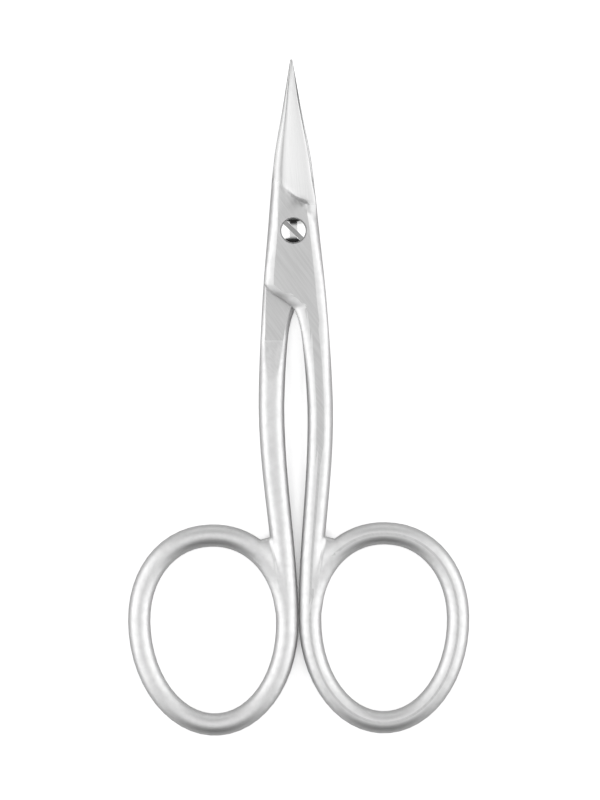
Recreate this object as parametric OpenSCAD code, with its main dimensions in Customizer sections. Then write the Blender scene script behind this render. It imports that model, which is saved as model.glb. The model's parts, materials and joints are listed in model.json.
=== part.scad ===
// Cuticle scissors, lying closed on a table with the screw head up and the tips along +Y.
// Two forged steel halves cross at a pivot screw: the front half carries the right-hand bow,
// the back half the left-hand one. The origin is on the table, midway from tips to bow feet.

/* [Blades] */
// Distance from the pivot to the tips
blade_l = 24; // [20:0.5:30]
// Width of the closed blades near their tips
tip_w = 0.3; // [0.2:0.05:0.6]
// Width of the closed blades halfway along their taper
mid_blade_w = 2.7; // [2.2:0.1:3.4]
// Width of the closed blades where the taper ends
heel_w = 5.2; // [4.4:0.1:6]
// Distance from the pivot to that place
heel_y = 10; // [8.5:0.5:11.5]
// Height of a blade's ridge above its inner face at the tip; at the heel it meets the joint's flat
tip_t = 0.45; // [0.3:0.05:0.8]
// Thickness of the blade just behind the cutting edge
edge_t = 0.12; // [0.06:0.02:0.24]
// Depth of the hollow ground into the inner face
hollow = 0.1; // [0:0.02:0.16]
// How far the other blade's back shows past the cutting edge when closed
back_show = 0.2; // [0:0.05:0.4]
// Radius of the upward curve of the blades, seen from the side
curve_r = 34; // [26:1:80]

/* [Joint] */
// Width across the closed joint at the pivot
joint_w = 7.25; // [6.4:0.05:8.5]
// Thickness of one half at the joint
joint_t = 1.6; // [1.4:0.05:2]
// Width of the rounded corner along the edges of the joint and the shanks
corner_w = 1.35; // [1:0.05:1.5]
// Running gap between the two inner faces
face_gap = 0.04; // [0.02:0.01:0.1]
// Distance from the pivot to the shoulder where a half leaves the joint's outline
shoulder_y = 7.3; // [6.6:0.1:7.8]
// Distance from the pivot to the end of the flat inner face
flat_y = 15.4; // [14:0.2:17]
// Length of the ramp from the inner face out to the round shank
ramp_l = 5; // [4:0.2:6.4]

/* [Shanks] */
// Distance from the pivot to the crotch between the shanks
crotch_y = 11.1; // [10.6:0.1:12.2]
// Width across both shanks level with the crotch
crotch_w = 9.2; // [8.4:0.1:10]
// Distance from the pivot to the widest place between the shanks
gap_y = 25; // [22:0.5:29]
// Widest gap between the closed shanks
gap_w = 3.3; // [2:0.1:5]
// Width of a shank there
shank_w = 3.6; // [2.9:0.05:4]

/* [Bows] */
// Width of the metal in a finger bow
wire_w = 3.15; // [2.4:0.05:3.6]
// Thickness of the metal in a finger bow
wire_t = 3.1; // [2.4:0.05:3.6]
// Outer width of a bow
bow_w = 24; // [20:0.5:30]
// Distance from the pivot to the widest line of the bows
bow_y = 55; // [48:0.5:62]
// Height of a bow above its widest line
bow_top_h = 13.8; // [12:0.1:15]
// Squareness of a bow above its widest line, where 2 is a true ellipse
bow_square = 2.1; // [1.9:0.05:2.4]
// Height of a bow below its widest line
bow_foot_h = 16; // [12:0.25:20]
// Lean of a bow, its top away from the other bow, in degrees
bow_lean = 1.2; // [0:0.2:3]
// Thickness of the web in the corner between a bow and its shank
web_t = 1.9; // [1.4:0.1:2.3]
// Gap left between the bows when closed
bow_gap = 0.1; // [0.05:0.05:0.5]
// How far below the top of a bow the edge of its web meets the shank
web_drop = 1.9; // [1.4:0.1:3]

/* [Pivot screw] */
// Diameter of the screw head
head_d = 3.5; // [3:0.1:4.2]
// Height of the domed head's top above the face of the front half
head_proud = 0.2; // [0.1:0.05:0.4]
// Slope of the dome at its rim, in degrees
dome_slope = 25; // [15:1:30]
// Depth of the recess that the head sits in
recess_depth = 0.7; // [0.4:0.05:0.9]
// Diameter of the journal that the front half turns on
journal_d = 2.4; // [2:0.05:2.8]
// Diameter of the threaded end in the back half
thread_d = 2; // [1.6:0.05:2]
// Diameter of the peened end
peen_d = 2.7; // [2.3:0.05:3]
// Width of the screwdriver slot
slot_w = 0.6; // [0.4:0.05:0.8]
// Depth of the screwdriver slot
slot_depth = 0.4; // [0.2:0.05:0.5]
// Radial clearance of the journal in its bore
journal_fit = 0.03; // [0.01:0.01:0.06]
// Radial clearance of the head in its recess
head_fit = 0.12; // [0.06:0.02:0.2]

/* [Hidden] */

// The mesh of a half: points round a section, and sections along each stretch
sides = 30;
blade_rows = 18;
plunge_rows = 6;
joint_rows = 12;
shoulder_rows = 12;
flat_rows = 3;
shank_rows = 11;
root_rows = 1;
bow_rows = 40;
end_rows = 14;
// Points of a section's upper side that lie on its two rounded corners
right_corner = 5;
left_corner = 4;
// The weld's window in the side of a shank reaches this many points up and down its section
weld_points = 3;
weld_rows = sides / 2 - 2 * weld_points;

// The ground face of a blade ends at the plunge, a hollow step that curves from its back, where
// it starts this far from the pivot, down to its edge beside the screw
plunge_back_y = heel_y + 0.4;
plunge_edge_y = 4.3;
plunge_l = 0.75;
// How sharply the plunge curves, where 1 is a straight line
plunge_bend = 2.6;
// How hollow the step is, where 1 is a straight slope
plunge_hollow = 1.4;
// The back's ground strip ends in a step of its own, and along the edge the step runs out longer
back_strip_y = 7.4;
back_step_l = 1.2;
edge_step_l = 3.2;
// Shares of a section's half width between which the flat ridge of the blade lies
ridge_from = -0.66;
ridge_to = -0.5;
// Share of the straight bevel that the hollow grind takes off between ridge and edge
bevel_sag = 0.25;
// Share of the ridge's height that the back of the blade slopes down, and how round the slope is
back_drop = 0.45;
back_round = 1.3;
// The inner face of a blade stands this far behind the joint's flat inner face
blade_relief = 0.01;
// The inner face is flat within this distance of the pivot and curves up beyond it
flat_r = heel_y - 1.4;
// Widths of the joint's corners where the blade begins, as shares of those at the pivot
heel_back_corner = 0.7;
heel_edge_corner = 1.6;
// The widest line of a shank's section lies this high beside the flat inner face
edge_lift = 0.8;
edge_lift_y = 2;
edge_lift_l = 11;
// The underside of a forging reaches at least this far past its inner face before it is ground
grind_stock = 0.05;
// Share of the underside's corner that the grind leaves at the shoulder, with all of it left
// where the ramp runs out
ground_share = 0.72;
ramp_out_y = flat_y + 0.74 * ramp_l;
// The joint's thickness turns into that of the round shank over this stretch below the pivot
joint_end_y = 8.6;
round_l = 7.4;
// The shank's corners grow round over this stretch above the bows' widest line
corner_grow_l = 20;
// Screw details
dome_steps = 6;
thread_fit = 0.01;
end_recess = 0.05;
peen_depth = 0.35;
slot_turn = -45;
head_z = joint_t - recess_depth + journal_fit;
// Sizes that only have to pass right through
clear = 1;
grind_depth = 3;

// Height of the joint's inner faces above the table, and place of the pivot along the part
rest_z = max(joint_t, wire_t / 2);
pivot_y = (bow_y + bow_foot_h - blade_l) / 2;
bow_x = bow_gap / 2 + bow_w / 2;

function mix(a, b, t) = a + (b - a) * t;
function unit(t) = min(1, max(0, t));
function ease(t) = let (s = unit(t)) s * s * (3 - 2 * s);

// A smooth curve through knots [y, x], which are listed from the tips down
function knot_slope(k, i) =
    let (a = k[max(i - 1, 0)], b = k[min(i + 1, len(k) - 1)])
    (b[1] - a[1]) / (b[0] - a[0]);
function curve(k, y, i = 0) =
    i < len(k) - 2 && y < k[i + 1][0]
    ? curve(k, y, i + 1)
    : let (h = k[i + 1][0] - k[i][0], t = (y - k[i][0]) / h)
      mix(k[i][1], k[i + 1][1], t * t * (3 - 2 * t))
      + h * t * (1 - t) * ((1 - t) * knot_slope(k, i) - t * knot_slope(k, i + 1));

// Outline of the closed scissors above the widest place between the shanks
outline = [
    [blade_l, tip_w / 2],
    [mix(blade_l, heel_y, 0.5), mid_blade_w / 2],
    [heel_y, heel_w / 2],
    [0, joint_w / 2],
    [-crotch_y, crotch_w / 2],
    [-gap_y, gap_w / 2 + shank_w],
    [-gap_y - 9, gap_w / 2 + shank_w - 0.4],
];
// Share of the way from the widest place between the shanks to the bows' widest line
function down_shank(y) = unit((-y - gap_y) / (bow_y - gap_y));
function shank_width(y) = mix(shank_w, wire_w, ease(down_shank(y)));

// The inside of a half from its shoulder, across the middle at the crotch, down to the gap
shoulder_x = -curve(outline, -shoulder_y);
function across(t, share) = [mix(-shoulder_y, -crotch_y, t), shoulder_x * share];
inside = [
    [0.5 - shoulder_y, -curve(outline, 0.5 - shoulder_y)],
    across(0, 1),
    across(0.22, 0.885),
    across(0.42, 0.7),
    across(0.6, 0.45),
    across(0.8, 0.21),
    [-crotch_y, 0],
    [mix(-crotch_y, -gap_y, 0.25), gap_w * 0.28],
    [-gap_y, gap_w / 2],
    [-gap_y - 5, gap_w * 0.47],
];

// The front half's left-hand rail: blade back, joint, shoulder, then the inside of the shank
function left_rail(y) =
    y > -shoulder_y
    ? -curve(outline, y)
    : y > -gap_y
    ? curve(inside, y)
    : mix(bow_gap, gap_w, (1 + cos(180 * down_shank(y))) / 2) / 2;
// Its right-hand rail: cutting edge, joint, then the outside of the shank
function right_rail(y) =
    y > -gap_y
    ? curve(outline, y) - back_show * ease((y - plunge_edge_y) / 3) * ease((blade_l - y) / 6)
    : left_rail(y) + shank_width(y);

// A point of a bow's outline, inset from the outer edge, at an angle from its widest side
function bow_point(angle, inset) =
    let (
        upper = sin(angle) > 0,
        n = upper ? 2 / bow_square : 1,
        h = (upper ? bow_top_h : bow_foot_h) - inset,
        x = (bow_w / 2 - inset) * sign(cos(angle)) * pow(abs(cos(angle)), n),
        y = h * sign(sin(angle)) * pow(abs(sin(angle)), n)
    )
    [
        bow_x + x * cos(bow_lean) + y * sin(bow_lean),
        -bow_y + y * cos(bow_lean) - x * sin(bow_lean),
    ];

// A section of a half is [distances of its left and right ends from the pivot, share forged below]
function row(y_left, y_right, below) = [y_left, y_right, below];
root_y = bow_point(180, 0)[1];
weld_top_y = -bow_y + bow_top_h - web_drop;
weld_foot_y = root_y + 0.7;

blade = [
    for (i = [0:blade_rows - 1])
        let (t = (i + 0.2) / blade_rows)
        row(mix(blade_l, plunge_back_y, t), mix(blade_l, plunge_edge_y, t), 0)
];
plunge = [
    for (i = [0:plunge_rows - 1])
        let (drop = plunge_l * i / plunge_rows)
        row(plunge_back_y - drop, plunge_edge_y - drop, 0)
];
joint_step = (plunge_back_y - plunge_l + shoulder_y) / joint_rows;
joint = [
    for (i = [0:joint_rows - 1])
        let (
            y_left = plunge_back_y - plunge_l - i * joint_step,
            y_right = mix(plunge_edge_y - plunge_l, -shoulder_y - 0.6, i / joint_rows)
        )
        row(y_left, y_right, y_left < flat_r - joint_step ? 1 : 0)
];
shoulder = [
    for (i = [0:shoulder_rows - 1])
        let (t = i / shoulder_rows)
        row(mix(-shoulder_y, -crotch_y, t), mix(-shoulder_y - 0.6, -crotch_y, t), 1)
];
shank_top_y = -flat_y - 0.1;
shank = [
    for (i = [0:flat_rows - 1])
        let (y = mix(-crotch_y, shank_top_y, i / flat_rows))
        row(y, y, 1),
    for (i = [0:shank_rows - 1])
        let (y = mix(shank_top_y, weld_top_y, pow(i / shank_rows, 1.4)))
        row(y, y, 1)
];
weld = [
    for (i = [0:weld_rows])
        let (y = mix(weld_top_y, weld_foot_y, i / weld_rows))
        row(y, y, 1)
];
root = [
    for (i = [1:root_rows])
        let (y = mix(weld_foot_y, root_y, i / (root_rows + 1)))
        row(y, y, 1)
];
rows = concat(blade, plunge, joint, shoulder, shank, weld, root);
weld_first = len(rows) - root_rows - weld_rows - 1;
weld_last = weld_first + weld_rows;

// Width of the rounded corner beside an edge of the joint or shank
function half_width(y) = (right_rail(y) - left_rail(y)) / 2;
function corner_at(y, heel_share) =
    min(
        half_width(y),
        mix(corner_w, wire_w / 2, ease((-y - bow_y + corner_grow_l) / corner_grow_l * 2))
        * mix(1, heel_share, ease(y / heel_y))
    );
function right_corner_at(y) = corner_at(y, heel_edge_corner);
// The left edge runs slanting past the shoulder, so its corner is wider along the section
function left_corner_at(y) =
    corner_at(y, heel_back_corner) * norm([1, (left_rail(y + 0.2) - left_rail(y - 0.2)) / 0.4]);

// Where point j lies across a section, from -1 at its left end to 1 at its right end: spaced evenly
// round the section, except on the joint, where a corner has its own points and the flat the rest
function joint_share(r) = ease((16 - r[0]) / 6) * (1 - ease((-r[0] - 8) / 12));
function across_at(r, j) =
    let (
        m = j <= sides / 2 ? j : sides - j,
        left_start = sides / 2 - left_corner,
        right_end = 1 - right_corner_at(r[1]) / half_width(r[1]),
        left_end = left_corner_at(r[0]) / half_width(r[0]) - 1,
        cornered = m <= right_corner
            ? mix(1, right_end, 1 - cos(90 * m / right_corner))
            : m >= left_start
            ? mix(-1, left_end, 1 - cos(90 * (sides / 2 - m) / left_corner))
            : mix(right_end, left_end, (m - right_corner) / (left_start - right_corner))
    )
    mix(cos(360 * m / sides), cornered, joint_share(r));

// Heights of the blade over the inner face, at share u of its half width
function blade_above(u, y) =
    let (ridge = mix(tip_t, joint_t, unit((blade_l - y) / (blade_l - heel_y + 1.6))))
    u > ridge_to
    ? let (s = (1 - u) / (1 - ridge_to)) mix(edge_t, ridge, s * mix(1, s, bevel_sag)) * ease(s * 30)
    : u > ridge_from
    ? ridge
    : ridge * (1 - back_drop * pow((ridge_from - u) / (1 + ridge_from), back_round));
function blade_below(u) = hollow * (1 - u * u);

// Share of the forging over the blade at a point: 0 on the blade, 1 on the joint and below
function past_plunge(u, y) =
    let (
        back = ease((ridge_from - u) / 0.08),
        edge = ease((u - 0.53) / 0.3),
        curve_y = mix(plunge_edge_y, plunge_back_y, pow((1 - u) / 2, plunge_bend)),
        starts = mix(curve_y, back_strip_y, back),
        lasts = mix(mix(plunge_l, back_step_l, back), edge_step_l, edge)
    )
    pow(unit((starts - y) / lasts), plunge_hollow);

// Share of a forging's full height at a point: 0 on its edges, 1 on the flat between its corners
function full_share(x, y) =
    let (
        left = (x - left_rail(y)) / left_corner_at(y),
        right = (right_rail(y) - x) / right_corner_at(y),
        d = min(left, right)
    )
    d > 1 ? 1 : sqrt(max(0, 1 - pow(1 - d, 2)));
function widest_z(y) =
    edge_lift * ease((edge_lift_y - y) / edge_lift_l) * (1 - ease((-y - flat_y + 2.4) / 9));
function forged_above(x, y) =
    let (round = ease((-y - joint_end_y) / round_l))
    mix(widest_z(y), mix(joint_t, wire_t / 2, round), full_share(x, y));
ramp_slope = wire_t / 2 / ramp_l;
function forged_below(x, y) =
    let (
        ground = face_gap / 2 + ramp_slope * max(0, -y - flat_y),
        left = unit((-y - shoulder_y) / (ramp_out_y - shoulder_y) / 1.05) * 1.05,
        depth = (widest_z(y) + ground) / mix(ground_share, 1, left) - widest_z(y)
    )
    mix(widest_z(y), -min(wire_t / 2, max(depth, face_gap / 2 + grind_stock)), full_share(x, y));

// Half the thickness of a bow's round metal at a point
function bow_above(p) =
    let (
        turned = p - [bow_x, -bow_y],
        x = turned[0] * cos(bow_lean) - turned[1] * sin(bow_lean),
        y = turned[0] * sin(bow_lean) + turned[1] * cos(bow_lean),
        a = (bow_w - wire_w) / 2,
        b = (y > 0 ? bow_top_h : bow_foot_h) - wire_w / 2,
        n = y > 0 ? bow_square : 2,
        rho = pow(pow(abs(x) / a, n) + pow(abs(y) / b, n), 1 / n),
        off = (rho - 1) * rho / norm([x / a / a, y / b / b])
    )
    wire_t / 2 * sqrt(max(0, 1 - pow(2 * off / wire_w, 2)));

// The inner faces are one shallow dish round the pivot, so they stay parallel as they turn
function rise(x, y) =
    let (r = y > 0 ? norm([x, y]) - flat_r : 0)
    r > 0 ? curve_r - sqrt(curve_r * curve_r - r * r) : 0;

// Point j of a section, as [x, y, height over the middle of the scissors]
function section_point(r, j) =
    let (
        u = across_at(r, j),
        y = mix(r[1], r[0], pow((1 - u) / 2, j <= sides / 2 ? plunge_bend : 1)),
        x = mix(left_rail(y), right_rail(y), (1 + u) / 2),
        inner = face_gap / 2 + blade_relief,
        above = mix(inner + blade_above(u, y), forged_above(x, y), past_plunge(u, y)),
        below = mix(inner + blade_below(u), forged_below(x, y), r[2]),
        bow = y < weld_top_y ? bow_above([x, y]) : 0
    )
    j <= sides / 2 ? [x, y, max(above, bow)] : [x, y, bow > 0 ? min(below, -bow) : below];

// Point j of a bow's section, at an angle round the bow
function bow_section_point(angle, j) =
    let (
        a = 360 * j / sides,
        p = mix(bow_point(angle, wire_w), bow_point(angle, 0), (1 - cos(a)) / 2)
    )
    [p[0], p[1], wire_t / 2 * sin(a)];

// The bow's end fans out from its top to lie along the shank, with the thin web in the corner.
// Past web_from the outer ends of its sections follow the web's edge.
web_from = 0.5;
web_angle = 125;
weld_top = [right_rail(weld_top_y), weld_top_y];
function end_point(t, j) =
    let (
        a = 360 * j / sides,
        s = unit((t - web_from) / (1 - web_from)),
        outer = t < web_from
            ? bow_point(mix(90, web_angle, t / web_from), 0)
            : mix(bow_point(web_angle, 0), weld_top, s),
        inner = bow_point(90 + 80 * t, wire_w),
        fan = mix(inner, outer, (1 - cos(a)) / 2),
        seam = section_point(rows[weld_row(j)], weld_column(j)),
        p = mix(fan, [seam[0], seam[1]], pow(s, 1.5) * pow(sin(a), 2)),
        web = t < 0.1 ? 0 : web_t / 2 * sqrt(abs(sin(a)))
    )
    [p[0], p[1], sign(sin(a)) * max(bow_above(p), web)];

// Where point j of the bow's last section meets the edge of the weld in the shank's side
function weld_row(j) =
    let (m = j <= sides / 2 ? j : sides - j)
    m <= weld_points
    ? weld_last
    : m >= sides / 2 - weld_points
    ? weld_first
    : weld_last - (m - weld_points);
function weld_column(j) =
    let (
        m = j <= sides / 2 ? j : sides - j,
        k = min(m, weld_points, sides / 2 - m)
    )
    j <= sides / 2 ? k : (sides - k) % sides;

function in_weld(i, j) =
    i >= weld_first && i < weld_last && (j < weld_points || j >= sides - weld_points);

// A half as it is forged: one closed skin from the tip, down the shank and round the bow
module forging(side) {
    skin_points = concat(
        [for (r = rows) for (j = [0:sides - 1]) section_point(r, j)],
        [for (i = [0:bow_rows - 1]) for (j = [0:sides - 1])
            bow_section_point(180 + 270 * i / bow_rows, j)],
        [for (i = [0:end_rows - 1]) for (j = [0:sides - 1]) end_point(i / end_rows, j)],
        [[0, blade_l, face_gap / 2 + tip_t / 3]]
    );
    points = [for (p = skin_points) [side * p[0], p[1], side * p[2] + rise(p[0], p[1])]];
    last = len(rows) + bow_rows + end_rows - 1;
    quads = [
        for (i = [0:last])
            for (j = [0:sides - 1])
                if (!in_weld(i, j))
                    let (n = (j + 1) % sides)
                    [
                        i * sides + j,
                        i * sides + n,
                        i < last ? (i + 1) * sides + n : weld_row(n) * sides + weld_column(n),
                        i < last ? (i + 1) * sides + j : weld_row(j) * sides + weld_column(j),
                    ]
    ];
    skin = [
        for (q = quads)
            each q[0] % sides < sides / 2
                ? [[q[0], q[2], q[1]], [q[0], q[3], q[2]]]
                : [[q[0], q[3], q[1]], [q[1], q[3], q[2]]]
    ];
    nose = [for (j = [0:sides - 1]) [j, (j + 1) % sides, (last + 1) * sides]];
    polyhedron(points = points, faces = concat(skin, nose));
}

// What is ground off the inner side: a flat face, and a ramp out to the round shank
module inner_grind() {
    rotate([90, 0, 90])
        linear_extrude(height = bow_w, center = true)
            polygon([
                [flat_r, face_gap / 2],
                [-flat_y, face_gap / 2],
                [-flat_y - grind_depth / ramp_slope, face_gap / 2 - grind_depth],
                [flat_r, face_gap / 2 - grind_depth],
            ]);
}

module disc(d, z, h) {
    translate([0, 0, z])
        cylinder(d = d, h = h, $fn = 96);
}

module half(side) {
    difference() {
        forging(side);
        rotate([0, side > 0 ? 0 : 180, 0])
            inner_grind();
    }
}

module in_place() {
    translate([0, pivot_y, rest_z])
        children();
}

module front_half() {
    color("gainsboro")
        in_place()
            difference() {
                half(1);
                disc(journal_d + 2 * journal_fit, -clear, joint_t + 2 * clear);
                disc(head_d + 2 * head_fit, joint_t - recess_depth, recess_depth + clear);
            }
}

module back_half() {
    hole_d = thread_d + 2 * thread_fit;
    color("gainsboro")
        in_place()
            difference() {
                half(-1);
                disc(hole_d, -joint_t - clear, joint_t + 2 * clear);
                translate([0, 0, -joint_t])
                    cylinder(d1 = peen_d + 2 * thread_fit, d2 = hole_d, h = peen_depth, $fn = 96);
            }
}

module pivot_screw() {
    head_top = joint_t + head_proud;
    seat_z = -face_gap / 2 + thread_fit;
    end_z = -joint_t + end_recess;
    dome_r = head_d / 2 / sin(dome_slope);
    dome = [
        for (i = [0:dome_steps])
            let (a = dome_slope * (1 - i / dome_steps))
            [dome_r * sin(a), head_top - dome_r * (1 - cos(a))]
    ];
    color("silver")
        in_place()
            difference() {
                rotate_extrude($fn = 96)
                    polygon([
                        [0, end_z],
                        [peen_d / 2 - end_recess, end_z],
                        [thread_d / 2, -joint_t + peen_depth],
                        [thread_d / 2, seat_z],
                        [journal_d / 2, seat_z],
                        [journal_d / 2, head_z],
                        [head_d / 2, head_z],
                        each dome,
                    ]);
                rotate(slot_turn)
                    translate([-head_d, -slot_w / 2, head_top - slot_depth])
                        cube([2 * head_d, slot_w, slot_depth + clear]);
            }
}

front_half();
back_half();
pivot_screw();
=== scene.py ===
"""Cuticle scissors: satin forged halves, ground blades and flats, and a polished pivot screw."""

import json
import math

import bmesh
import bpy
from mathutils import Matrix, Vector


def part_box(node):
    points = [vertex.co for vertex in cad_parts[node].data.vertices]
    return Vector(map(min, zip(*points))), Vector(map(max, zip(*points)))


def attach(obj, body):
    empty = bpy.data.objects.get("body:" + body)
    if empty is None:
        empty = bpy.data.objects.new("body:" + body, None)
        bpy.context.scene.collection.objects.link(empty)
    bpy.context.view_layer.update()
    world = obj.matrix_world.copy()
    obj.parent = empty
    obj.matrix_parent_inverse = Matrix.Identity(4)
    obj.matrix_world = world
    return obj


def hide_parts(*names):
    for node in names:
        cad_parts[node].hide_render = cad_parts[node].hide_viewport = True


bl_info = {
    "name": "Cuticle scissors",
    "version": (1, 0, 0),
    "blender": (4, 5, 0),
    "location": "View3D > Sidebar > Scissors",
    "description": "Dresses cuticle scissors: forged halves, pivot screw, lamps and camera",
    "category": "Object",
}

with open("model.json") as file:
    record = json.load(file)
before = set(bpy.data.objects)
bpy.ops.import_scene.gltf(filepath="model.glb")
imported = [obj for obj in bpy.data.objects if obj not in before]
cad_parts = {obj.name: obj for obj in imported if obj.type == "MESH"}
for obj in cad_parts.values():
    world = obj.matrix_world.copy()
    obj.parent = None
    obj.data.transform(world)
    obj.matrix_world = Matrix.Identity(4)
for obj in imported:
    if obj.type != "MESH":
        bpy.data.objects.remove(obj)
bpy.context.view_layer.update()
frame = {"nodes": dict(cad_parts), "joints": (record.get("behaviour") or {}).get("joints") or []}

MM = 0.001
# Points nearer than this lie at one height
HAIR = 0.01 * MM
PIVOT = Vector(frame["joints"][0]["pos_m"])
SCREW_LOW, SCREW_HIGH = (Vector(corner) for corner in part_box("pivot_screw"))


# Selecting and shaping


def select_only(obj):
    """Leaves obj alone selected and active."""
    if bpy.context.object and bpy.context.object.mode != "OBJECT":
        bpy.ops.object.mode_set(mode="OBJECT")
    bpy.ops.object.select_all(action="DESELECT")
    obj.select_set(True)
    bpy.context.view_layer.objects.active = obj


def edit(obj, kind="FACE"):
    """Opens obj in edit mode with nothing selected."""
    select_only(obj)
    bpy.ops.object.mode_set(mode="EDIT")
    bpy.ops.mesh.select_mode(type=kind)
    bpy.ops.mesh.select_all(action="DESELECT")


def pick(obj, kind, test):
    """Selects what passes the test in obj, open in edit mode, and says how many there are."""
    bpy.ops.mesh.select_mode(type=kind)
    bpy.ops.mesh.select_all(action="DESELECT")
    mesh = bmesh.from_edit_mesh(obj.data)
    items = {"FACE": mesh.faces, "EDGE": mesh.edges, "VERT": mesh.verts}[kind]
    found = [item for item in items if test(item)]
    for item in found:
        item.select_set(True)
    mesh.select_flush_mode()
    bmesh.update_edit_mesh(obj.data)
    return len(found)


def raise_face(inset, dz):
    """Insets the selected face, then lifts it by dz."""
    bpy.ops.mesh.inset(thickness=inset, depth=0)
    bpy.ops.transform.translate(value=(0, 0, dz))


def drop_face(dz, grow, centre):
    """Extrudes the selected face by dz and scales its far end about the centre by grow."""
    bpy.ops.mesh.extrude_region_move(TRANSFORM_OT_translate={"value": (0, 0, dz)})
    bpy.ops.transform.resize(value=(grow, grow, 1), center_override=centre)


def finish_piece(obj, body, slot, *replaced):
    """Leaves obj at the origin and gives it its body and the nodes it stands for; the slot is not
    used.
    """
    select_only(obj)
    bpy.ops.object.transform_apply(location=True, rotation=True, scale=True)
    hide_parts(*replaced)
    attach(obj, body)


# Materials


def linear(code):
    """A hex sRGB colour as linear RGBA."""
    parts = [int(code[i : i + 2], 16) / 255 for i in (1, 3, 5)]
    return [p / 12.92 if p <= 0.04045 else ((p + 0.055) / 1.055) ** 2.4 for p in parts] + [1.0]


def node(tree, kind, settings=None, **links):
    """Adds a node. Settings are its properties, and links are its inputs: a value or a socket."""
    made = tree.nodes.new(kind)
    for name, value in (settings or {}).items():
        setattr(made, name, value)
    for name, value in links.items():
        key = int(name[1:]) if name[0] == "_" else name.replace("_", " ")
        if isinstance(value, bpy.types.NodeSocket):
            tree.links.new(value, made.inputs[key])
        else:
            made.inputs[key].default_value = value
    return made


def new_material(name):
    """A material with an empty node tree and its output."""
    mat = bpy.data.materials.new(name)
    mat.use_nodes = True
    mat.node_tree.nodes.clear()
    return mat, mat.node_tree, mat.node_tree.nodes.new("ShaderNodeOutputMaterial")


def satin_blasted_stainless(colour):
    """Stainless steel blasted with fine glass beads."""
    # The eye sees an even pale satin with no direction, faintly mottled, and a very fine grain.
    mat, tree, out = new_material("satin_blasted_stainless")
    place = node(tree, "ShaderNodeTexCoord").outputs["Object"]
    # The beads leave dents of about 0.05 mm; they are drawn 0.14 mm wide, so that they show.
    grain = node(tree, "ShaderNodeTexNoise", Vector=place, Scale=1 / (0.14 * MM), Detail=2.0)
    # The jet passes unevenly and leaves a mottle of patches about 0.9 mm wide.
    cloud = node(tree, "ShaderNodeTexNoise", Vector=place, Scale=1 / (0.9 * MM), Detail=4.0)
    tone = node(
        tree, "ShaderNodeMapRange", _0=cloud.outputs["Fac"], _1=0.35, _2=0.65, _3=0.0, _4=1.0
    )
    base = node(
        tree,
        "ShaderNodeMix",
        {"data_type": "RGBA"},
        _0=tone.outputs[0],
        _6=linear(colour),
        _7=[c * 0.94 for c in linear(colour)[:3]] + [1.0],
    )
    rough = node(
        tree, "ShaderNodeMapRange", _0=cloud.outputs["Fac"], _1=0.3, _2=0.7, _3=0.47, _4=0.53
    )
    bump = node(
        tree, "ShaderNodeBump", Strength=0.5, Distance=0.01 * MM, Height=grain.outputs["Fac"]
    )
    steel = node(
        tree,
        "ShaderNodeBsdfPrincipled",
        Base_Color=base.outputs[2],
        Metallic=1.0,
        Roughness=rough.outputs[0],
        Normal=bump.outputs[0],
    )
    tree.links.new(steel.outputs[0], out.inputs["Surface"])
    return mat


def ground_stainless(name, colour, roughness, turn, depth):
    """Stainless steel ground flat on a fine wheel."""
    # The eye sees a closer grey than the blasted skin, with hair-fine lines that run one way.
    mat, tree, out = new_material(name)
    place = node(tree, "ShaderNodeTexCoord").outputs["Object"]
    # The lines are 0.03 mm apart on the steel and about 6 mm long; they are drawn 0.22 mm apart,
    # so that they show.
    laid = node(tree, "ShaderNodeMapping", Vector=place, Rotation=(0, 0, turn))
    drawn = node(
        tree,
        "ShaderNodeMapping",
        Vector=laid.outputs[0],
        Scale=(1 / (0.22 * MM), 1 / (6 * MM), 1 / (0.22 * MM)),
    )
    lines = node(tree, "ShaderNodeTexNoise", Vector=drawn.outputs[0], Scale=1.0, Detail=3.0)
    rough = node(
        tree,
        "ShaderNodeMapRange",
        _0=lines.outputs["Fac"],
        _1=0.3,
        _2=0.7,
        _3=roughness * 0.8,
        _4=roughness * 1.2,
    )
    bump = node(
        tree, "ShaderNodeBump", Strength=depth, Distance=0.004 * MM, Height=lines.outputs["Fac"]
    )
    tone = node(
        tree, "ShaderNodeMapRange", _0=lines.outputs["Fac"], _1=0.35, _2=0.65, _3=0.0, _4=1.0
    )
    base = node(
        tree,
        "ShaderNodeMix",
        {"data_type": "RGBA"},
        _0=tone.outputs[0],
        _6=[c * 0.94 for c in linear(colour)[:3]] + [1.0],
        _7=[min(c * 1.06, 1.0) for c in linear(colour)[:3]] + [1.0],
    )
    steel = node(
        tree,
        "ShaderNodeBsdfPrincipled",
        Base_Color=base.outputs[2],
        Metallic=1.0,
        Roughness=rough.outputs[0],
        Normal=bump.outputs[0],
    )
    tree.links.new(steel.outputs[0], out.inputs["Surface"])
    return mat


def polished_stainless(colour):
    """Stainless steel turned and polished on a mop."""
    # The eye sees sharp, bright and dark reflections, with faint rings from the turning.
    mat, tree, out = new_material("polished_stainless")
    place = node(tree, "ShaderNodeTexCoord").outputs["Object"]
    centred = node(tree, "ShaderNodeMapping", Vector=place, Location=(-PIVOT.x, -PIVOT.y, 0))
    # The tool leaves rings 0.16 mm apart; a wave of scale 1 repeats every 0.314 m.
    rings = node(
        tree,
        "ShaderNodeTexWave",
        {"wave_type": "RINGS", "rings_direction": "Z"},
        Vector=centred.outputs[0],
        Scale=0.314 / (0.16 * MM),
    )
    bump = node(
        tree, "ShaderNodeBump", Strength=0.05, Distance=0.002 * MM, Height=rings.outputs["Fac"]
    )
    steel = node(
        tree,
        "ShaderNodeBsdfPrincipled",
        Base_Color=linear(colour),
        Metallic=1.0,
        Roughness=0.1,
        Normal=bump.outputs[0],
    )
    tree.links.new(steel.outputs[0], out.inputs["Surface"])
    return mat


# The halves


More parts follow.
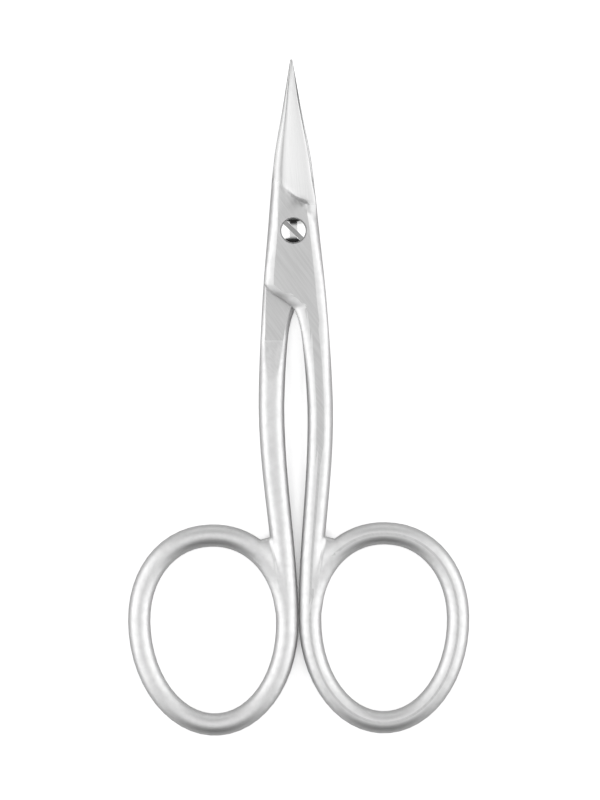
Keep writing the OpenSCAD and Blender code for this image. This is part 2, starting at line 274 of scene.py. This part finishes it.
def refine_half(name, cad_name, side):
    """A half of the scissors from its forging's skin, with its ground faces marked and sharp."""
    cad = frame["nodes"][cad_name]
    obj = bpy.data.objects.new(name, cad.data.copy())
    bpy.context.scene.collection.objects.link(obj)
    sizes = bpy.context.scene.scissors_half
    looks = bpy.context.scene.scissors_looks
    across = math.radians(-35)
    along = math.radians(-5)
    # Slot 0 holds the blasted skin, and the ground steels have the slots after it
    flat, blade, slope = 1, 2, 3
    obj.data.materials.clear()
    for steel in (
        satin_blasted_stainless(looks.satin),
        ground_stainless("ground_flat_stainless", looks.flat, 0.42, across, depth=0.3),
        ground_stainless("hollow_ground_blade", looks.blade, 0.4, along, depth=0.4),
        # The ramp's steel is painted lighter than the flats' ground steel: painted light, where the
        # ramp tilts toward the lamps
        ground_stainless("ramp_painted_light_stainless", looks.ramp, 0.6, across, depth=0.1),
    ):
        obj.data.materials.append(steel)
    # The triangles of the frame's node are loose, so their corners are joined first
    edit(obj, "VERT")
    bpy.ops.mesh.select_all(action="SELECT")
    bpy.ops.mesh.remove_doubles(threshold=HAIR / 20)
    bpy.ops.mesh.select_mode(type="FACE")
    bpy.ops.mesh.select_all(action="SELECT")
    bpy.ops.mesh.faces_shade_smooth()
    outer_z = PIVOT.z + side * sizes.joint_t
    inner_z = PIVOT.z + side * sizes.face_gap / 2
    ramp = Vector((0, sizes.ramp_rise, -side * sizes.ramp_l)).normalized()

    def at(f):
        """How far a face lies from the pivot, toward its half's bow and toward the tips."""
        place = f.calc_center_median() - PIVOT
        return side * place.x, place.y

    def is_outer_flat(f):
        near = abs(f.calc_center_median().z - outer_z) < sizes.flat_drop
        return near and side * f.normal.z > sizes.level

    def is_inner_flat(f):
        near = abs(f.calc_center_median().z - inner_z) < HAIR
        return near and abs(f.normal.z) > sizes.level

    def is_ramp(f):
        return f.normal.dot(ramp) > sizes.level and f.calc_center_median().y < PIVOT.y

    def is_bore(f):
        near = (f.calc_center_median().xy - PIVOT.xy).length < sizes.bore_reach
        return near and abs(f.normal.z) < 0.01

    def is_blade(f):
        x, y = at(f)
        if is_outer_flat(f) or y < sizes.plunge_y:
            return False
        return y > sizes.back_y or x > sizes.back_x

    # Each ground face: how it is found, its steel, and whether its border is crisp
    ground = {
        "blade": (is_blade, blade, False),
        "outer flat": (is_outer_flat, flat, True),
        "inner flat": (is_inner_flat, flat, True),
        "ramp": (is_ramp, slope, False),
        "bore": (is_bore, flat, True),
    }
    for what, (test, steel, crisp) in ground.items():
        if not pick(obj, "FACE", test):
            raise RuntimeError(f"{cad_name} has no {what}")
        obj.active_material_index = steel
        bpy.ops.object.material_slot_assign()
        if crisp:
            bpy.ops.mesh.region_to_loop()
            bpy.ops.mesh.mark_sharp()

    def is_soft(e):
        y = (e.verts[0].co.y + e.verts[1].co.y) / 2 - PIVOT.y
        outside = all(side * (v.co.z - inner_z) > sizes.soft_z for v in e.verts)
        return outside and (y < -sizes.crisp_l or y > sizes.plunge_y)

    # Down the shank and at the plunge the outer flat runs out without a crisp border
    if not pick(obj, "EDGE", is_soft):
        raise RuntimeError(f"{cad_name} has no soft edges")
    bpy.ops.mesh.mark_sharp(clear=True)

    def is_web(f):
        x, y = at(f)
        near = sizes.web_in < x < sizes.web_out and sizes.web_low < y < sizes.web_high
        return near and f.normal.z > 0.25

    # The web's top is blended into the shank and the bow, as a belt leaves it
    if not pick(obj, "FACE", is_web):
        raise RuntimeError(f"{cad_name} has no web")
    bpy.ops.mesh.subdivide(number_cuts=1)
    bpy.ops.mesh.vertices_smooth(
        factor=0.5, repeat=sizes.web_strokes, xaxis=False, yaxis=False, zaxis=True
    )
    bpy.ops.object.mode_set(mode="OBJECT")
    return obj


# The screw


def turn_screw(sizes, head_r, dome_r, rim_z, seat_z):
    """The screw as it comes off the lathe and is peened, with a domed head and no slot."""
    middle = (PIVOT.x, PIVOT.y, seat_z)
    bpy.ops.object.select_all(action="DESELECT")
    bpy.ops.mesh.primitive_cylinder_add(
        vertices=sizes.segments,
        radius=head_r,
        depth=rim_z - seat_z,
        location=(PIVOT.x, PIVOT.y, (rim_z + seat_z) / 2),
    )
    screw = bpy.context.object
    screw.name = "screw"
    bpy.ops.object.transform_apply(location=True, rotation=True, scale=True)
    edit(screw)
    # The dome rises in rings from the rim, and a small flat is left at its top
    pick(screw, "FACE", lambda f: f.normal.z > 0.99)
    for i in range(sizes.rings):
        low, high = (sizes.dome_slope * (1 - k / (sizes.rings + 0.3)) for k in (i, i + 1))
        raise_face(
            dome_r * (math.sin(low) - math.sin(high)), dome_r * (math.cos(high) - math.cos(low))
        )
    # The journal, the thread and the peened end go down from the head
    pick(screw, "FACE", lambda f: f.normal.z < -0.99)
    bpy.ops.mesh.inset(thickness=head_r - sizes.journal_d / 2, depth=0)
    drop_face(PIVOT.z - seat_z, 1, middle)
    bpy.ops.mesh.inset(thickness=(sizes.journal_d - sizes.thread_d) / 2, depth=0)
    neck_z = SCREW_LOW.z + sizes.peen_depth
    drop_face(neck_z - PIVOT.z, 1, middle)
    drop_face(SCREW_LOW.z - neck_z, sizes.peen_d / sizes.thread_d, middle)
    bpy.ops.mesh.bevel(offset=sizes.peen_round, segments=3, affect="EDGES")
    bpy.ops.object.mode_set(mode="OBJECT")
    return screw


def saw_slot(screw, sizes, top_z):
    """Saws the slot across the head and leaves the screw open in edit mode."""
    # The saw stands well above the head
    saw_h = 1 * MM
    bpy.ops.mesh.primitive_cube_add(
        size=1, location=(PIVOT.x, PIVOT.y, top_z - sizes.slot_depth + saw_h / 2)
    )
    saw = bpy.context.object
    bpy.ops.transform.resize(
        value=(2 * sizes.head_d, sizes.slot_w, saw_h), center_override=saw.location
    )
    bpy.ops.transform.rotate(
        value=-sizes.slot_turn, orient_axis="Z", center_override=saw.location
    )
    select_only(screw)
    cut = screw.modifiers.new("slot", "BOOLEAN")
    cut.operation = "DIFFERENCE"
    cut.solver = "EXACT"
    cut.object = saw
    bpy.ops.object.modifier_apply(modifier=cut.name)
    bpy.data.objects.remove(saw)
    edit(screw, "EDGE")
    bpy.ops.mesh.select_all(action="SELECT")
    bpy.ops.mesh.remove_doubles(threshold=sizes.lip / 6)


# The stage


def white_table(stage):
    """A white table that looks white to the camera and keeps the shadow of the scissors."""
    bpy.ops.object.select_all(action="DESELECT")
    bpy.ops.mesh.primitive_plane_add(size=stage.table_l, location=(0, 0, -stage.table_drop))
    table = bpy.context.object
    table.name = "table"
    bpy.ops.object.transform_apply(location=True, rotation=True, scale=True)
    mat, tree, out = new_material("white_table")
    seen = node(tree, "ShaderNodeLightPath").outputs["Is Camera Ray"]
    # The glow fades to nothing where the steel closes in, as in the narrow gap between the bows:
    # painted shade on the table
    sky = node(tree, "ShaderNodeAmbientOcclusion", {"samples": 4}, Distance=stage.gap_depth)
    clear = node(
        tree,
        "ShaderNodeMapRange",
        _0=sky.outputs["AO"],
        _1=0.02,
        _2=0.12,
        _3=0.0,
        _4=stage.glow,
    )
    extra = node(tree, "ShaderNodeMath", {"operation": "MULTIPLY"}, _0=seen, _1=clear.outputs[0])
    paper = node(tree, "ShaderNodeBsdfDiffuse", Color=linear(stage.paper))
    glow = node(tree, "ShaderNodeEmission", Color=(1, 1, 1, 1), Strength=extra.outputs[0])
    mixed = node(tree, "ShaderNodeAddShader", _0=paper.outputs[0], _1=glow.outputs[0])
    tree.links.new(mixed.outputs[0], out.inputs["Surface"])
    table.data.materials.append(mat)
    return table


def softbox(stage, name, side):
    """A long softbox beside the camera, turned down to the scissors by half a right angle."""
    light = bpy.data.lights.new(name, "AREA")
    light.shape = "RECTANGLE"
    light.size = stage.box_w
    light.size_y = stage.box_l
    light.energy = stage.lamp
    lamp = bpy.data.objects.new(name, light)
    bpy.context.scene.collection.objects.link(lamp)
    lamp.location = (side * stage.box_away, stage.box_y, stage.box_away)
    lamp.rotation_euler = (0, side * math.radians(45), 0)


def studio_world(stage):
    """A light tent: dark ends, a pale roof and pale sides, and white to the camera."""
    world = bpy.data.worlds.new("studio")
    bpy.context.scene.world = world
    world.use_nodes = True
    world.node_tree.nodes.clear()
    tree = world.node_tree
    out = tree.nodes.new("ShaderNodeOutputWorld")
    toward = node(tree, "ShaderNodeTexCoord").outputs["Generated"]
    split = node(tree, "ShaderNodeSeparateXYZ", _0=toward)
    # The ends of the tent are dark, apart from a low strip beyond the tips
    ends = node(
        tree,
        "ShaderNodeMapRange",
        {"interpolation_type": "SMOOTHSTEP"},
        _0=split.outputs["Y"],
        _1=0.7,
        _2=1.0,
        _3=stage.low_end,
        _4=stage.high_end,
    )
    # Its roof is a pale panel, short along the scissors
    high = node(
        tree,
        "ShaderNodeMapRange",
        {"interpolation_type": "SMOOTHSTEP"},
        _0=split.outputs["Z"],
        _1=0.45,
        _2=0.8,
        _3=0.0,
        _4=1.0,
    )
    along = node(tree, "ShaderNodeMath", {"operation": "ABSOLUTE"}, _0=split.outputs["Y"])
    roof = node(
        tree,
        "ShaderNodeMapRange",
        {"interpolation_type": "SMOOTHSTEP"},
        _0=along.outputs[0],
        _1=0.3,
        _2=0.55,
        _3=high.outputs[0],
        _4=0.0,
    )
    # Its sides are pale below the softboxes
    across = node(tree, "ShaderNodeMath", {"operation": "ABSOLUTE"}, _0=split.outputs["X"])
    sides = node(
        tree,
        "ShaderNodeMapRange",
        {"interpolation_type": "SMOOTHSTEP"},
        _0=across.outputs[0],
        _1=0.45,
        _2=0.9,
        _3=0.0,
        _4=1.0,
    )
    walled = node(
        tree,
        "ShaderNodeMix",
        {"data_type": "FLOAT"},
        _0=sides.outputs[0],
        _2=ends.outputs[0],
        _3=stage.sides,
    )
    level = node(
        tree,
        "ShaderNodeMix",
        {"data_type": "FLOAT"},
        _0=roof.outputs[0],
        _2=walled.outputs[0],
        _3=stage.roof,
    )
    seen = node(tree, "ShaderNodeLightPath").outputs["Is Camera Ray"]
    strength = node(
        tree, "ShaderNodeMix", {"data_type": "FLOAT"}, _0=seen, _2=level.outputs[0], _3=1.0
    )
    sky = node(tree, "ShaderNodeBackground", Color=(1, 1, 1, 1), Strength=strength.outputs[0])
    tree.links.new(sky.outputs[0], out.inputs["Surface"])


def camera_above(stage):
    """A camera with a long lens that looks straight down on the scissors."""
    data = bpy.data.cameras.new("camera")
    data.lens = stage.lens
    data.sensor_width = 36
    data.clip_start = 0.01
    camera = bpy.data.objects.new("camera", data)
    bpy.context.scene.collection.objects.link(camera)
    away = stage.view_h * stage.lens / data.sensor_width
    camera.location = (stage.aim_x, stage.aim_y, PIVOT.z + away)
    camera.rotation_euler = (0, 0, stage.roll)
    return camera


# Sizes and colours


class ScissorsHalf(bpy.types.PropertyGroup):
    """Sizes that the ground faces of the halves are found by."""

    joint_t: bpy.props.FloatProperty(
        name="Joint thickness", description="Thickness of one half", default=1.6 * MM, unit="LENGTH"
    )
    face_gap: bpy.props.FloatProperty(
        name="Face gap", description="Gap between the halves", default=0.04 * MM, unit="LENGTH"
    )
    ramp_l: bpy.props.FloatProperty(
        name="Ramp length", description="Length of the ramp", default=5 * MM, unit="LENGTH"
    )
    ramp_rise: bpy.props.FloatProperty(
        name="Ramp rise", description="Rise of the ramp", default=1.55 * MM, unit="LENGTH"
    )
    web_in: bpy.props.FloatProperty(
        name="Web's inside",
        description="Distance of the web's inner end from the middle",
        default=1.4 * MM,
        unit="LENGTH",
    )
    web_out: bpy.props.FloatProperty(
        name="Web's outside",
        description="Distance of the web's outer end from the middle",
        default=6.2 * MM,
        unit="LENGTH",
    )
    web_low: bpy.props.FloatProperty(
        name="Web's low end",
        description="Place of the web's low end from the pivot, toward the tips",
        default=-50.5 * MM,
        unit="LENGTH",
    )
    web_high: bpy.props.FloatProperty(
        name="Web's high end",
        description="Place of the web's high end from the pivot, toward the tips",
        default=-42.5 * MM,
        unit="LENGTH",
    )
    web_strokes: bpy.props.IntProperty(
        name="Web's strokes", description="How often the web is smoothed", default=8, min=0
    )
    bore_reach: bpy.props.FloatProperty(
        name="Bore's reach",
        description="Distance from the pivot within which the bore's wall lies",
        default=2 * MM,
        unit="LENGTH",
    )
    level: bpy.props.FloatProperty(
        name="Level", description="Least cosine of a flat's tilt", default=0.9998
    )
    flat_drop: bpy.props.FloatProperty(
        name="Flat's drop",
        description="How far the outer flat drops down the shank",
        default=0.06 * MM,
        unit="LENGTH",
    )
    crisp_l: bpy.props.FloatProperty(
        name="Crisp length",
        description="Distance from the pivot to which the outer flat has a crisp border",
        default=11.1 * MM,
        unit="LENGTH",
    )
    soft_z: bpy.props.FloatProperty(
        name="Soft height",
        description="Distance from the inner face beyond which the borders may be soft",
        default=1 * MM,
        unit="LENGTH",
    )
    plunge_y: bpy.props.FloatProperty(
        name="Plunge",
        description="Distance from the pivot to the ground blade's lower end",
        default=3.5 * MM,
        unit="LENGTH",
    )
    back_x: bpy.props.FloatProperty(
        name="Back strip",
        description="Place of the blade's ridge beside the pivot, from its middle",
        default=-2.0 * MM,
        unit="LENGTH",
    )
    back_y: bpy.props.FloatProperty(
        name="Back strip's end",
        description="Distance from the pivot to the end of the back's ground strip",
        default=6.8 * MM,
        unit="LENGTH",
    )


class ScissorsScrew(bpy.types.PropertyGroup):
    """Sizes of the pivot screw."""

    head_d: bpy.props.FloatProperty(
        name="Head", description="Diameter of the head", default=3.5 * MM, unit="LENGTH"
    )
    dome_slope: bpy.props.FloatProperty(
        name="Dome",
        description="Slope of the domed head at its rim",
        default=math.radians(25),
        unit="ROTATION",
    )
    seat_depth: bpy.props.FloatProperty(
        name="Seat",
        description="Depth of the head's underside below the front half's face",
        default=0.67 * MM,
        unit="LENGTH",
    )
    journal_d: bpy.props.FloatProperty(
        name="Journal", description="Diameter of the journal", default=2.4 * MM, unit="LENGTH"
    )
    thread_d: bpy.props.FloatProperty(
        name="Thread", description="Diameter of the threaded end", default=2.0 * MM, unit="LENGTH"
    )
    peen_d: bpy.props.FloatProperty(
        name="Peened end", description="Diameter of the peened end", default=2.6 * MM, unit="LENGTH"
    )
    peen_depth: bpy.props.FloatProperty(
        name="Peened depth", description="Height of the peened end", default=0.3 * MM, unit="LENGTH"
    )
    slot_w: bpy.props.FloatProperty(
        name="Slot width", description="Width of the slot", default=0.6 * MM, unit="LENGTH"
    )
    slot_depth: bpy.props.FloatProperty(
        name="Slot depth", description="Depth of the slot", default=0.4 * MM, unit="LENGTH"
    )
    slot_turn: bpy.props.FloatProperty(
        name="Slot turn",
        description="Turn of the slot from the X axis",
        default=math.radians(-45),
        unit="ROTATION",
    )
    lip: bpy.props.FloatProperty(
        name="Lip", description="Width of the softened edges", default=0.03 * MM, unit="LENGTH"
    )
    peen_round: bpy.props.FloatProperty(
        name="Peened edge",
        description="Width of the peened end's round edge",
        default=0.08 * MM,
        unit="LENGTH",
    )
    segments: bpy.props.IntProperty(
        name="Segments", description="Segments round the screw", default=96, min=12
    )
    rings: bpy.props.IntProperty(
        name="Rings", description="Rings from the dome's rim to its top", default=12, min=2
    )


class ScissorsLooks(bpy.types.PropertyGroup):
    """Colours of the steel."""

    satin: bpy.props.StringProperty(
        name="Satin steel", description="Colour of the blasted skin", default="#E0E0E0"
    )
    flat: bpy.props.StringProperty(
        name="Ground flats", description="Colour of the ground flats", default="#CACACA"
    )
    blade: bpy.props.StringProperty(
        name="Ground blades", description="Colour of the ground blades", default="#C8C8C8"
    )
    # The ramps' lighter grey is painted light, where they tilt toward the lamps
    ramp: bpy.props.StringProperty(
        name="Ground ramps", description="Colour of the ramps behind the joint", default="#DEDEDE"
    )
    screw: bpy.props.StringProperty(
        name="Screw", description="Colour of the polished screw", default="#E6E6E6"
    )
    # The slot's dark grey is painted shade in the slot's recess
    slot: bpy.props.StringProperty(
        name="Slot", description="Colour of the screw's sawn slot", default="#A2A2A2"
    )


class ScissorsStage(bpy.types.PropertyGroup):
    """Sizes of the stage."""

    lens: bpy.props.FloatProperty(name="Lens", description="Focal length in mm", default=250.0)
    view_h: bpy.props.FloatProperty(
        name="View height", description="Height of the view", default=112.76 * MM, unit="LENGTH"
    )
    roll: bpy.props.FloatProperty(
        name="Roll",
        description="Turn of the camera about the line of sight",
        default=math.radians(-0.76),
        unit="ROTATION",
    )
    aim_x: bpy.props.FloatProperty(
        name="Aim across",
        description="Where the camera looks, to the right of the middle",
        default=0.6 * MM,
        unit="LENGTH",
    )
    aim_y: bpy.props.FloatProperty(
        name="Aim along",
        description="Where the camera looks, from the middle toward the tips",
        default=-0.34 * MM,
        unit="LENGTH",
    )
    table_l: bpy.props.FloatProperty(
        name="Table's length", description="Length of the table's sides", default=3, unit="LENGTH"
    )
    table_drop: bpy.props.FloatProperty(
        name="Table's drop",
        description="How far the table lies below the scissors' flat face",
        default=0.04 * MM,
        unit="LENGTH",
    )
    paper: bpy.props.StringProperty(
        name="Table", description="Colour of the table's paper", default="#BCBCBC"
    )
    box_w: bpy.props.FloatProperty(
        name="Softbox width", description="Width of a softbox", default=0.56, unit="LENGTH"
    )
    box_l: bpy.props.FloatProperty(
        name="Softbox length", description="Length of a softbox", default=0.7, unit="LENGTH"
    )
    box_away: bpy.props.FloatProperty(
        name="Softbox distance",
        description="Height of a softbox, and its distance to the side",
        default=0.36,
        unit="LENGTH",
    )
    box_y: bpy.props.FloatProperty(
        name="Softbox shift",
        description="How far the softboxes stand toward the tips",
        default=0.1,
        unit="LENGTH",
    )
    lamp: bpy.props.FloatProperty(name="Lamp", description="Power of a softbox", default=0.92)
    roof: bpy.props.FloatProperty(name="Roof", description="Level overhead", default=0.84)
    sides: bpy.props.FloatProperty(name="Sides", description="Level at the sides", default=1.55)
    high_end: bpy.props.FloatProperty(
        name="High end", description="Level beyond the tips", default=1.2
    )
    low_end: bpy.props.FloatProperty(
        name="Low end", description="Level beyond the bows", default=0.02
    )
    glow: bpy.props.FloatProperty(
        name="Glow", description="How much the table glows, so that it looks white", default=0.75
    )
    gap_depth: bpy.props.FloatProperty(
        name="Gap depth",
        description="How near the steel must be to dim the table's glow",
        default=3 * MM,
        unit="LENGTH",
    )


# The buttons


class OBJECT_OT_front_half(bpy.types.Operator):
    """Makes the half that lies on top, with the right-hand bow"""

    bl_idname = "scissors.front_half"
    bl_label = "Front half"

    def execute(self, context):
        obj = refine_half("front_forging", "front_half", 1)
        finish_piece(obj, "front", "forging", "front_half")
        return {"FINISHED"}


class OBJECT_OT_back_half(bpy.types.Operator):
    """Makes the half that lies underneath, with the left-hand bow"""

    bl_idname = "scissors.back_half"
    bl_label = "Back half"

    def execute(self, context):
        obj = refine_half("back_forging", "back_half", -1)
        finish_piece(obj, "back", "forging", "back_half")
        return {"FINISHED"}


class OBJECT_OT_pivot_screw(bpy.types.Operator):
    """Makes the slotted screw that the front half turns on"""

    bl_idname = "scissors.pivot_screw"
    bl_label = "Pivot screw"

    def execute(self, context):
        sizes = context.scene.scissors_screw
        head_r = sizes.head_d / 2
        dome_r = head_r / math.sin(sizes.dome_slope)
        top_z = SCREW_HIGH.z
        rim_z = top_z - dome_r * (1 - math.cos(sizes.dome_slope))
        seat_z = PIVOT.z + context.scene.scissors_half.joint_t - sizes.seat_depth
        screw = turn_screw(sizes, head_r, dome_r, rim_z, seat_z)
        saw_slot(screw, sizes, top_z)

        def is_lip(e):
            high = all(v.co.z > rim_z - HAIR for v in e.verts)
            return high and e.calc_face_angle(0) > math.radians(40)

        # The saw's burr is polished off, so the slot and the rim have soft lips
        pick(screw, "EDGE", is_lip)
        bpy.ops.mesh.bevel(offset=sizes.lip, segments=3, affect="EDGES", clamp_overlap=True)
        bpy.ops.mesh.select_all(action="SELECT")
        bpy.ops.mesh.remove_doubles(threshold=sizes.lip / 15)
        bpy.ops.object.mode_set(mode="OBJECT")
        bpy.ops.object.shade_smooth_by_angle(angle=math.radians(30))
        looks = context.scene.scissors_looks
        screw.data.materials.append(polished_stainless(looks.screw))
        # The slot's darker steel is painted shade in its recess
        screw.data.materials.append(
            ground_stainless("slot_painted_shade_stainless", looks.slot, 0.3, sizes.slot_turn, depth=0.3)
        )

        def in_slot(f):
            place = f.calc_center_median()
            r = (place.xy - PIVOT.xy).length
            if r > head_r - sizes.lip or place.z < top_z - sizes.slot_depth - HAIR:
                return False
            return place.z < top_z - dome_r + math.sqrt(dome_r**2 - r**2) - 2 * sizes.lip

        edit(screw)
        if not pick(screw, "FACE", in_slot):
            raise RuntimeError("the screw has no slot")
        screw.active_material_index = 1
        bpy.ops.object.material_slot_assign()
        bpy.ops.object.mode_set(mode="OBJECT")
        finish_piece(screw, "back", "screw", "pivot_screw")
        return {"FINISHED"}


class OBJECT_OT_stage(bpy.types.Operator):
    """Makes the white table, the lamps and the camera"""

    bl_idname = "scissors.stage"
    bl_label = "Table, lamps and camera"

    def execute(self, context):
        scene = context.scene
        stage = scene.scissors_stage
        white_table(stage)
        # The softboxes stand left and right of the camera
        softbox(stage, "softbox_left", -1)
        softbox(stage, "softbox_right", 1)
        studio_world(stage)
        scene.camera = camera_above(stage)
        scene.view_settings.view_transform = "Standard"
        return {"FINISHED"}


class VIEW3D_PT_scissors(bpy.types.Panel):
    """Lists the pieces and the sizes and colours that a user would change."""

    bl_label = "Cuticle scissors"
    bl_idname = "VIEW3D_PT_scissors"
    bl_space_type = "VIEW_3D"
    bl_region_type = "UI"
    bl_category = "Scissors"

    def draw(self, context):
        for group in GROUPS:
            box = self.layout.box()
            values = getattr(context.scene, group)
            for name in values.bl_rna.properties.keys():
                if name not in ("rna_type", "name"):
                    box.prop(values, name)
        for operator in OPERATORS:
            self.layout.operator(operator.bl_idname)


OPERATORS = (OBJECT_OT_front_half, OBJECT_OT_back_half, OBJECT_OT_pivot_screw, OBJECT_OT_stage)
GROUPS = {
    "scissors_half": ScissorsHalf,
    "scissors_screw": ScissorsScrew,
    "scissors_looks": ScissorsLooks,
    "scissors_stage": ScissorsStage,
}


def register():
    """Adds the sizes, the operators and the panel."""
    for group in GROUPS.values():
        bpy.utils.register_class(group)
    for name, group in GROUPS.items():
        setattr(bpy.types.Scene, name, bpy.props.PointerProperty(type=group))
    for operator in OPERATORS:
        bpy.utils.register_class(operator)
    bpy.utils.register_class(VIEW3D_PT_scissors)


def unregister():
    """Takes them away again."""
    bpy.utils.unregister_class(VIEW3D_PT_scissors)
    for operator in reversed(OPERATORS):
        bpy.utils.unregister_class(operator)
    for name, group in GROUPS.items():
        delattr(bpy.types.Scene, name)
        bpy.utils.unregister_class(group)


def main():
    """Makes the stage and the pieces."""
    register()
    bpy.ops.scissors.stage()
    bpy.ops.scissors.front_half()
    bpy.ops.scissors.back_half()
    bpy.ops.scissors.pivot_screw()


if __name__ == "__main__":
    main()
